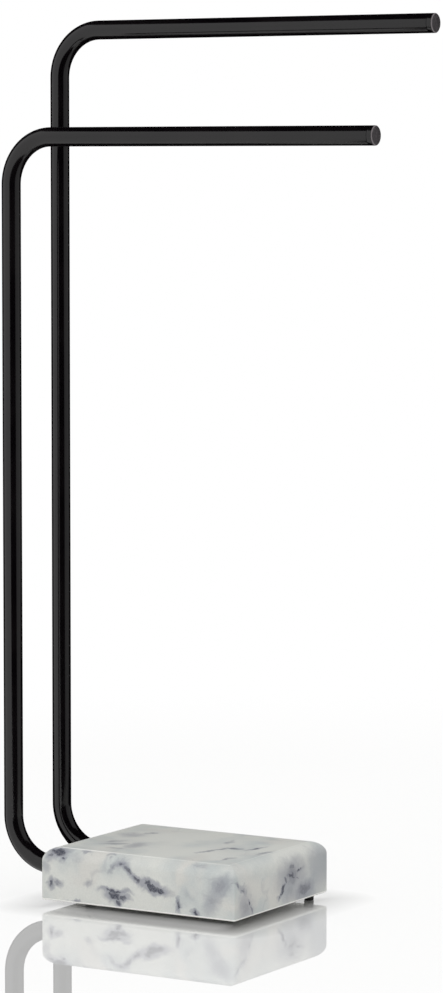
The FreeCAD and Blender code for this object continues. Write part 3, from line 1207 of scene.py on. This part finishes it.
@dataclass
class LegFixing:
    """How one leg is held in the stone: sleeve, threaded insert, screw and washer."""

    rail: Rail
    sleeve_outer: float = 10.6
    sleeve_inner: float = 9.6
    sleeve_lip: float = 0.3
    washer_radius: float = 6.0
    washer_bore: float = 3.2
    washer_edge: float = 0.2
    head_radius: float = 5.0
    head_edge: float = 0.5
    knurl_count: int = 36
    knurl_depth: float = 0.14
    shank_radius: float = 3.0
    shank_length: float = 6.5        # the plain part, from the head to the thread
    thread_depth: float = 0.45
    thread_pitch: float = 1.0
    thread_root: tuple[float, float] = (0.45, 0.55)    # in pitches, where the groove is deepest
    thread_crest: float = 0.98                         # and where it has come out again
    tip_taper: float = 0.5
    socket_width: float = 5.0
    socket_depth: float = 3.0
    socket_overcut: float = 0.5
    socket_cone: tuple[float, float] = (0.8, 0.15)     # the drilled cone's ends, in the socket's
    socket_cone_depth: float = 0.6

    def build(self) -> None:
        """Builds and dresses the fixing's pieces."""
        name = self.rail.value
        dress(self.sleeve(), Slot.SLEEVE_PLASTIC, f"{name}_leg_sleeve")
        dress(self.washer(), Slot.FASTENER_STEEL, "fixing_washers")
        dress(self.screw(), Slot.FASTENER_STEEL, "fixing_screws")
        refinish(f"{name}_leg_insert", Slot.FASTENER_STEEL)

    def sleeve(self) -> Piece:
        """Turns the liner between leg and stone, and cuts the screw's passage in it.

        Returns:
            The sleeve.
        """
        leg, lip = self.rail.leg_end, self.sleeve_lip
        start = self.rail.box("leg_sleeve").low.x
        outline = [
            (start, self.sleeve_inner + lip), (start, self.sleeve_outer - lip),
            (start + lip, self.sleeve_outer), (leg.x, self.sleeve_outer),
            (leg.x, self.sleeve_inner), (start + lip, self.sleeve_inner),
        ]
        axis_place = Vector((0.0, leg.y, leg.z))
        name = f"{self.rail.value}_nylon_sleeve"
        sleeve = turned_piece(name, outline, Axis.X, axis_place, ring=True)
        cut_away(sleeve, screw_drill(self.rail))
        return shade(sleeve)

    def washer(self) -> Piece:
        """Turns the flat washer, its outer edges just broken.

        Returns:
            The washer.
        """
        box = Box.of("fixing_washers")
        bottom, top, edge = box.low.z, box.high.z, self.washer_edge
        outline = [
            (bottom, self.washer_bore), (bottom, self.washer_radius - edge),
            (bottom + edge, self.washer_radius), (top - edge, self.washer_radius),
            (top, self.washer_radius - edge), (top, self.washer_bore),
        ]
        name = f"{self.rail.value}_flat_washer"
        axis_place = self.rail.screw_axis
        return shade(turned_piece(name, outline, Axis.Z, axis_place, ROUND_SIDES, ring=True))

    def screw(self) -> Piece:
        """Turns the socket-head screw, with its knurled head, its thread and its socket.

        Returns:
            The screw.
        """
        box = Box.of("fixing_screws")
        bottom, tip, edge = box.low.z, box.high.z, self.head_edge
        seat = Box.of("fixing_washers").low.z
        start = seat + self.shank_length
        outline = [
            (bottom, self.head_radius - edge), (bottom + edge, self.head_radius),
            (seat - edge / 2, self.head_radius), (seat, self.head_radius - edge / 2),
            (seat, self.shank_radius), (start, self.shank_radius),
        ]
        root = self.shank_radius - self.thread_depth
        steps = [(part, root) for part in self.thread_root]
        steps.append((self.thread_crest, self.shank_radius))
        for turn in range(int((tip - self.tip_taper - start) / self.thread_pitch)):
            crest = start + turn * self.thread_pitch
            outline += [(crest + part * self.thread_pitch, radius) for part, radius in steps]
        outline.append((tip, self.shank_radius - self.tip_taper))
        name = f"{self.rail.value}_socket_head_screw"
        sides = 2 * self.knurl_count
        screw = turned_piece(name, outline, Axis.Z, self.rail.screw_axis, sides)
        self.knurl(screw, bottom, seat)
        cut_away(screw, self.socket(bottom))
        return shade(screw)

    def knurl(self, screw: Piece, bottom: float, seat: float) -> None:
        """Draws every other column of the head's side inwards.

        Args:
            screw: the screw.
            bottom: height of the head's outer face.
            seat: height of the head's seat.
        """
        take_up(screw)
        bpy.ops.object.mode_set(mode="EDIT")
        axis_place = self.rail.screw_axis

        def in_groove(place: Vector) -> bool:
            """Tests a place.

            Args:
                place: the place, in millimetres.

            Returns:
                Whether it lies on every other column of the head's side.
            """
            offset = place - axis_place
            on_side = math.hypot(offset.x, offset.y) > self.head_radius - NEAR
            column = round(math.atan2(offset.y, offset.x) * self.knurl_count / math.pi)
            return on_side and bottom < place.z < seat and column % 2 == 1

        select_where(screw, in_groove)
        factor = 1 - self.knurl_depth / self.head_radius
        bpy.ops.transform.resize(value=(factor, factor, 1), center_override=axis_place * MM)
        finish_edit()

    def socket(self, bottom: float) -> Piece:
        """Makes the hexagon that is cut from the head, with its drilled cone.

        Args:
            bottom: height of the head's outer face.

        Returns:
            The cutter.
        """
        corner = self.socket_width / math.sqrt(3)
        floor = bottom + self.socket_depth
        mouth, point = (corner * part for part in self.socket_cone)
        outline = [
            (bottom - self.socket_overcut, corner), (floor, corner), (floor, mouth),
            (floor + self.socket_cone_depth, point),
        ]
        return turned_piece("socket_drill", outline, Axis.Z, self.rail.screw_axis, HEXAGON)


# ---------------------------------------------------------------- feet

@dataclass
class RubberFeet:
    """Four moulded rubber feet, each pushed into the slab by its stem."""

    tread_round: float = 0.8
    tread_segments: int = 4
    cup_radius: float = 2.6
    cup_depth: float = 0.5
    cup_dish: tuple[tuple[float, float], ...] = (      # its depth and radius, in shares of both
        (1.0, 0.35), (1.0, 0.7), (0.4, 0.93), (0.0, 1.12),
    )
    top_round: float = 0.3
    stem_radius: float = 2.5
    stem_bevel: float = 0.8

    def build(self) -> None:
        """Builds one foot, copies it to the four places and dresses the copies."""
        first = self.foot()
        for foot in Foot:
            copy = own_copy(first, f"rubber_foot_{foot.value}", foot.place)
            dress(copy, Slot.RUBBER_FEET, f"foot_{foot.value}")
        bpy.data.objects.remove(first)

    def foot(self) -> Piece:
        """Turns one foot: a cupped tread, a rounded rim and a stem.

        Returns:
            The foot, in the middle of the floor.
        """
        outline = [(self.cup_depth * deep, self.cup_radius * wide) for deep, wide in self.cup_dish]
        for step in range(self.tread_segments + 1):
            angle = math.pi / 2 * step / self.tread_segments
            along = self.tread_round * (1 - math.cos(angle))
            outline.append((along, FOOT_RADIUS - self.tread_round * (1 - math.sin(angle))))
        bottom, stem_top = SLAB.low.z, Box.of(f"foot_{Foot.FRONT_LEFT.value}").high.z
        outline += [
            (bottom - self.top_round, FOOT_RADIUS), (bottom, FOOT_RADIUS - self.top_round),
            (bottom, self.stem_radius), (stem_top - self.stem_bevel, self.stem_radius),
            (stem_top, self.stem_radius - self.stem_bevel),
        ]
        middle = Vector((0.0, 0.0, 0.0))
        return shade(turned_piece("foot_pattern", outline, Axis.Z, middle, ROUND_SIDES))


# ---------------------------------------------------------------- studio

@dataclass(frozen=True)
class FlagCard:
    """A card round the stand that only its reflections see, spun from one straight edge."""

    name: str
    turn: tuple[float, float]        # degrees round the stand, from +X
    near: tuple[float, float]        # the edge's ends: metres from the middle, and height
    far: tuple[float, float]
    level: float = 0.0               # how bright it is: 0 is black, 1 white


FLAG_CARDS = (
    FlagCard("flag_by_camera", (-83, -12), (2.6, 0.0), (2.6, 4.5)),
    FlagCard("flag_by_camera_low", (-83, -12), (0.2, 0.01), (2.6, 0.01)),
    FlagCard("flag_right_grey", (-12, 58), (2.6, 0.0), (2.6, 4.5), 0.45),
    FlagCard("flag_right_grey_low", (-12, 50), (0.2, 0.01), (2.6, 0.01), 0.45),
    FlagCard("flag_behind", (58, 190), (2.6, 0.0), (2.6, 4.5)),
    FlagCard("flag_behind_low", (50, 190), (0.18, 0.01), (2.6, 0.01)),
)


@dataclass(frozen=True)
class SoftLamp:
    """One large soft lamp that looks at the stand."""

    name: str
    place: tuple[float, float, float]
    size: float
    power: float                     # watts


SOFT_LAMPS = (
    SoftLamp("key_light", (0.5, -3.0, 1.0), 2.0, 13.5),
    SoftLamp("top_light", (0.0, 0.4, 3.2), 2.2, 16.0),
)


@dataclass
class Studio:
    """Plain floor, soft light, cards for the reflections, and the camera, all in metres."""

    floor_radius: float = 30.0
    floor_sides: int = 96
    floor_fade: tuple[float, float] = (0.9, 1.6)     # from the middle, where it goes plain white
    floor_lit: str = "#F0F0EF"       # as the stand is lit by it
    floor_seen: str = "#B2B2B1"      # as it is seen, with the glow below added
    floor_glow: float = 0.46
    glow_width: float = 0.05         # outside the slab, over which the glow grows
    gap_glow: float = 0.3            # painted light that gets in under the slab's front edge
    gap_start: tuple[float, float] = (-0.022, -0.008)    # beyond its long edge, where that begins
    gap_end: tuple[float, float] = (0.0, 0.025)      # and where it ends
    gap_side: tuple[float, float] = (-0.02, 0.0)     # beyond its short edges, where it ends
    mirror_share: float = 0.52       # of what the floor shows at a low angle
    mirror_share_above: float = 0.06    # seen from high up
    mirror_turn: tuple[float, float] = (0.45, 0.8)   # from how flat a look to how flat it grows
    sky_light: float = 0.97
    stand_middle: tuple[float, float, float] = (0.0, 0.0, 0.4)
    camera_place: tuple[float, float, float] = (1.943974, -3.222649, 0.727072)
    camera_yaw: float = 31.0007      # degrees
    camera_pitch: float = 4.8748
    camera_roll: float = 0.0315
    camera_lens: float = 139.85      # mm
    sensor: float = 36.0
    camera_reach: float = 200.0
    card_steps: int = 24
    ceiling_height: float = 3.4
    ceiling_radius: float = 2.4
    ceiling_sides: int = 48

    def build(self) -> None:
        """Sets up the whole studio."""
        self.light_world()
        self.lay_floor()
        for lamp in SOFT_LAMPS:
            self.hang_lamp(lamp)
        self.stand_flags()
        self.place_camera()
        bpy.context.scene.view_settings.view_transform = "Standard"

    def seen_directly(self, add: Adder) -> Socket:
        """Tells what is looked at or reflected from what only lights the stand.

        Args:
            add: adds a node to the tree.

        Returns:
            1 for camera, glossy and transmission rays, and 0 for the others.
        """
        rays = ("Is Camera Ray", "Is Glossy Ray", "Is Transmission Ray")
        camera, glossy, through = (add(Node.LIGHT_PATH, output=ray) for ray in rays)
        either = add(Node.MATH, (camera, glossy), operation="MAXIMUM")
        return add(Node.MATH, (either, through), operation="MAXIMUM")

    def light_world(self) -> None:
        """White to look at and to reflect, at a plain level to be lit by."""
        world = bpy.data.worlds.new("studio_world")
        bpy.context.scene.world = world
        world.use_nodes = True
        world.node_tree.nodes.clear()
        add = partial(add_node, world.node_tree)
        levels = (self.seen_directly(add), 0.0, 1.0, self.sky_light, 1.0)
        white = add(Node.BACKGROUND, (linear(WHITE), add(Node.RANGE, levels)))
        add(Node.WORLD_OUTPUT, (white,))

    def disc(self, name: str, sides: int, radius: float, height: float) -> Piece:
        """Shapes a flat round sheet.

        Args:
            name: its name.
            sides: how many sides it has.
            radius: its radius.
            height: its height above the floor.

        Returns:
            The sheet.
        """
        sheet = begin(
            name, bpy.ops.mesh.primitive_circle_add, vertices=sides, radius=radius,
            fill_type="NGON", location=(0, 0, height),
        )
        bpy.ops.object.mode_set(mode="OBJECT")
        return sheet

    def lay_floor(self) -> None:
        """Lays the pale glossy floor."""
        floor = self.disc("studio_floor", self.floor_sides, self.floor_radius, 0.0)
        floor.data.materials.append(self.floor_material())

    def floor_material(self) -> Material:
        """Glossy white acrylic, in the slab's shade near it (its real shadow, and a painted shade
        where the glow is held back) and plain white away from it.

        Returns:
            The material.
        """
        material, add = new_material("glossy_white_acrylic_floor")
        place = add(Node.PLACE, output="Object")
        seen = self.seen_directly(add)
        white = linear(WHITE)
        colour = layered(add, linear(self.floor_lit), (seen, linear(self.floor_seen)))
        dull = add(Node.DIFFUSE, (colour,))
        strength = add(Node.MATH, (self.near_glow(add, place), seen), operation="MULTIPLY")
        body = add(Node.ADD_SHADER, (dull, add(Node.GLOW, (white, strength))))
        mirror = add(Node.MIRROR, {"Color": white, "Roughness": 0.0})
        shares = (*self.mirror_turn, self.mirror_share_above, self.mirror_share)
        gloss = add(Node.RANGE, (add(Node.FACING, output="Facing"), *shares), **SOFT)
        near = add(Node.MIX_SHADER, (gloss, body, mirror))
        far = add(Node.MIX_SHADER, (seen, dull, add(Node.GLOW, (white, 1.0))))
        distance = add(Node.VECTOR, (place,), "Value", operation="LENGTH")
        fade = add(Node.RANGE, (distance, *self.floor_fade), **SOFT)
        add(Node.OUTPUT, (add(Node.MIX_SHADER, (fade, near, far)),))
        return material

    def near_glow(self, add: Adder, place: Socket) -> Socket:
        """How much painted light lifts the floor, away from the slab and just under its front edge;
        held back near the slab, it leaves a painted shade round it.

        Args:
            add: adds a node to the tree.
            place: the place on the floor.

        Returns:
            The strength of the glow.
        """
        beyond = beyond_outline(add, place, SLAB_HALF)
        beyond_x = add(Node.SPLIT, (beyond,), "X")
        beyond_y = add(Node.SPLIT, (beyond,), "Y")
        beside = add(Node.VECTOR, (beyond, (0.0, 0.0, 0.0)), operation="MAXIMUM")
        away = add(Node.VECTOR, (beside,), "Value", operation="LENGTH")
        glow = add(Node.RANGE, (away, 0.0, self.glow_width, 0.0, self.floor_glow))
        spill = add(Node.RANGE, (beyond_y, *self.gap_start, 0.0, self.gap_glow), **SOFT)
        within_x = add(Node.RANGE, (beyond_x, *self.gap_side, 1.0, 0.0), **SOFT)
        within_y = add(Node.RANGE, (beyond_y, *self.gap_end, 1.0, 0.0), **SOFT)
        within = add(Node.MATH, (within_x, within_y), operation="MULTIPLY")
        gap = add(Node.MATH, (spill, within), operation="MULTIPLY")
        return add(Node.MATH, (glow, gap), operation="ADD")

    def hang_lamp(self, lamp: SoftLamp) -> None:
        """Hangs a lamp, out of the reflections' sight.

        Args:
            lamp: its sizes.
        """
        light = bpy.data.lights.new(lamp.name, "AREA")
        light.shape = "SQUARE"
        light.size = lamp.size
        light.energy = lamp.power
        holder = bpy.data.objects.new(lamp.name, light)
        bpy.context.scene.collection.objects.link(holder)
        holder.location = lamp.place
        look = Vector(self.stand_middle) - Vector(lamp.place)
        holder.rotation_euler = look.to_track_quat("-Z", "Y").to_euler()
        holder.visible_glossy = False

    def stand_flags(self) -> None:
        """Stands the cards round the stand and hangs a black one overhead."""
        for card in FLAG_CARDS:
            self.show_to_reflections_only(self.spun_card(card), card.level)
        sizes = (self.ceiling_sides, self.ceiling_radius, self.ceiling_height)
        self.show_to_reflections_only(self.disc("flag_overhead", *sizes), 0.0)

    def spun_card(self, card: FlagCard) -> Piece:
        """Shapes one curved card: a straight edge spun part of the way round the stand.

        Args:
            card: its sizes.

        Returns:
            The card.
        """
        start, end = (math.radians(angle) for angle in card.turn)
        turn = Matrix.Rotation(start, 4, "Z")
        near, far = (turn @ Vector((reach, 0, height)) for reach, height in (card.near, card.far))
        sheet = begin(card.name, bpy.ops.mesh.primitive_plane_add, location=near)
        bpy.ops.mesh.merge(type="CENTER")
        extrude((far - near) / MM)
        bpy.ops.mesh.select_all(action="SELECT")
        arc = {"steps": self.card_steps, "angle": start - end}
        bpy.ops.mesh.spin(center=(0, 0, 0), axis=Axis.Z.direction, **arc)
        bpy.ops.object.mode_set(mode="OBJECT")
        return sheet

    def show_to_reflections_only(self, card: Piece, level: float) -> None:
        """Dresses a card and hides it from all but reflections; the floor looks through it.

        Args:
            card: the card.
            level: how bright it is.
        """
        material, add = new_material(f"{card.name}_cloth")
        sharp = add(Node.LIGHT_PATH, output="Is Singular Ray")
        cloth = add(Node.GLOW, (linear(WHITE), level))
        add(Node.OUTPUT, (add(Node.MIX_SHADER, (sharp, cloth, add(Node.CLEAR))),))
        card.data.materials.append(material)
        for ray in ("camera", "diffuse", "transmission", "volume_scatter", "shadow"):
            setattr(card, f"visible_{ray}", False)

    def place_camera(self) -> None:
        """Sets the camera where the photograph was taken from."""
        data = bpy.data.cameras.new("camera")
        data.lens = self.camera_lens
        data.sensor_width = self.sensor
        data.sensor_fit = "AUTO"
        data.clip_end = self.camera_reach
        camera = bpy.data.objects.new("camera", data)
        bpy.context.scene.collection.objects.link(camera)
        turns = ((self.camera_yaw, "Z"), (90 - self.camera_pitch, "X"), (self.camera_roll, "Z"))
        yaw, tip, roll = (Matrix.Rotation(math.radians(angle), 4, axis) for angle, axis in turns)
        camera.matrix_world = Matrix.Translation(self.camera_place) @ yaw @ tip @ roll
        bpy.context.scene.camera = camera


# ---------------------------------------------------------------- the whole stand


def main() -> None:
    """Builds the stand piece by piece, then the studio around it."""
    logging.basicConfig(level=logging.INFO, format="%(name)s: %(message)s")
    MarbleSlab().build()
    for rail in Rail:
        BentRail(rail).build()
        LegFixing(rail).build()
    RubberFeet().build()
    Studio().build()


if __name__ == "__main__":
    main()
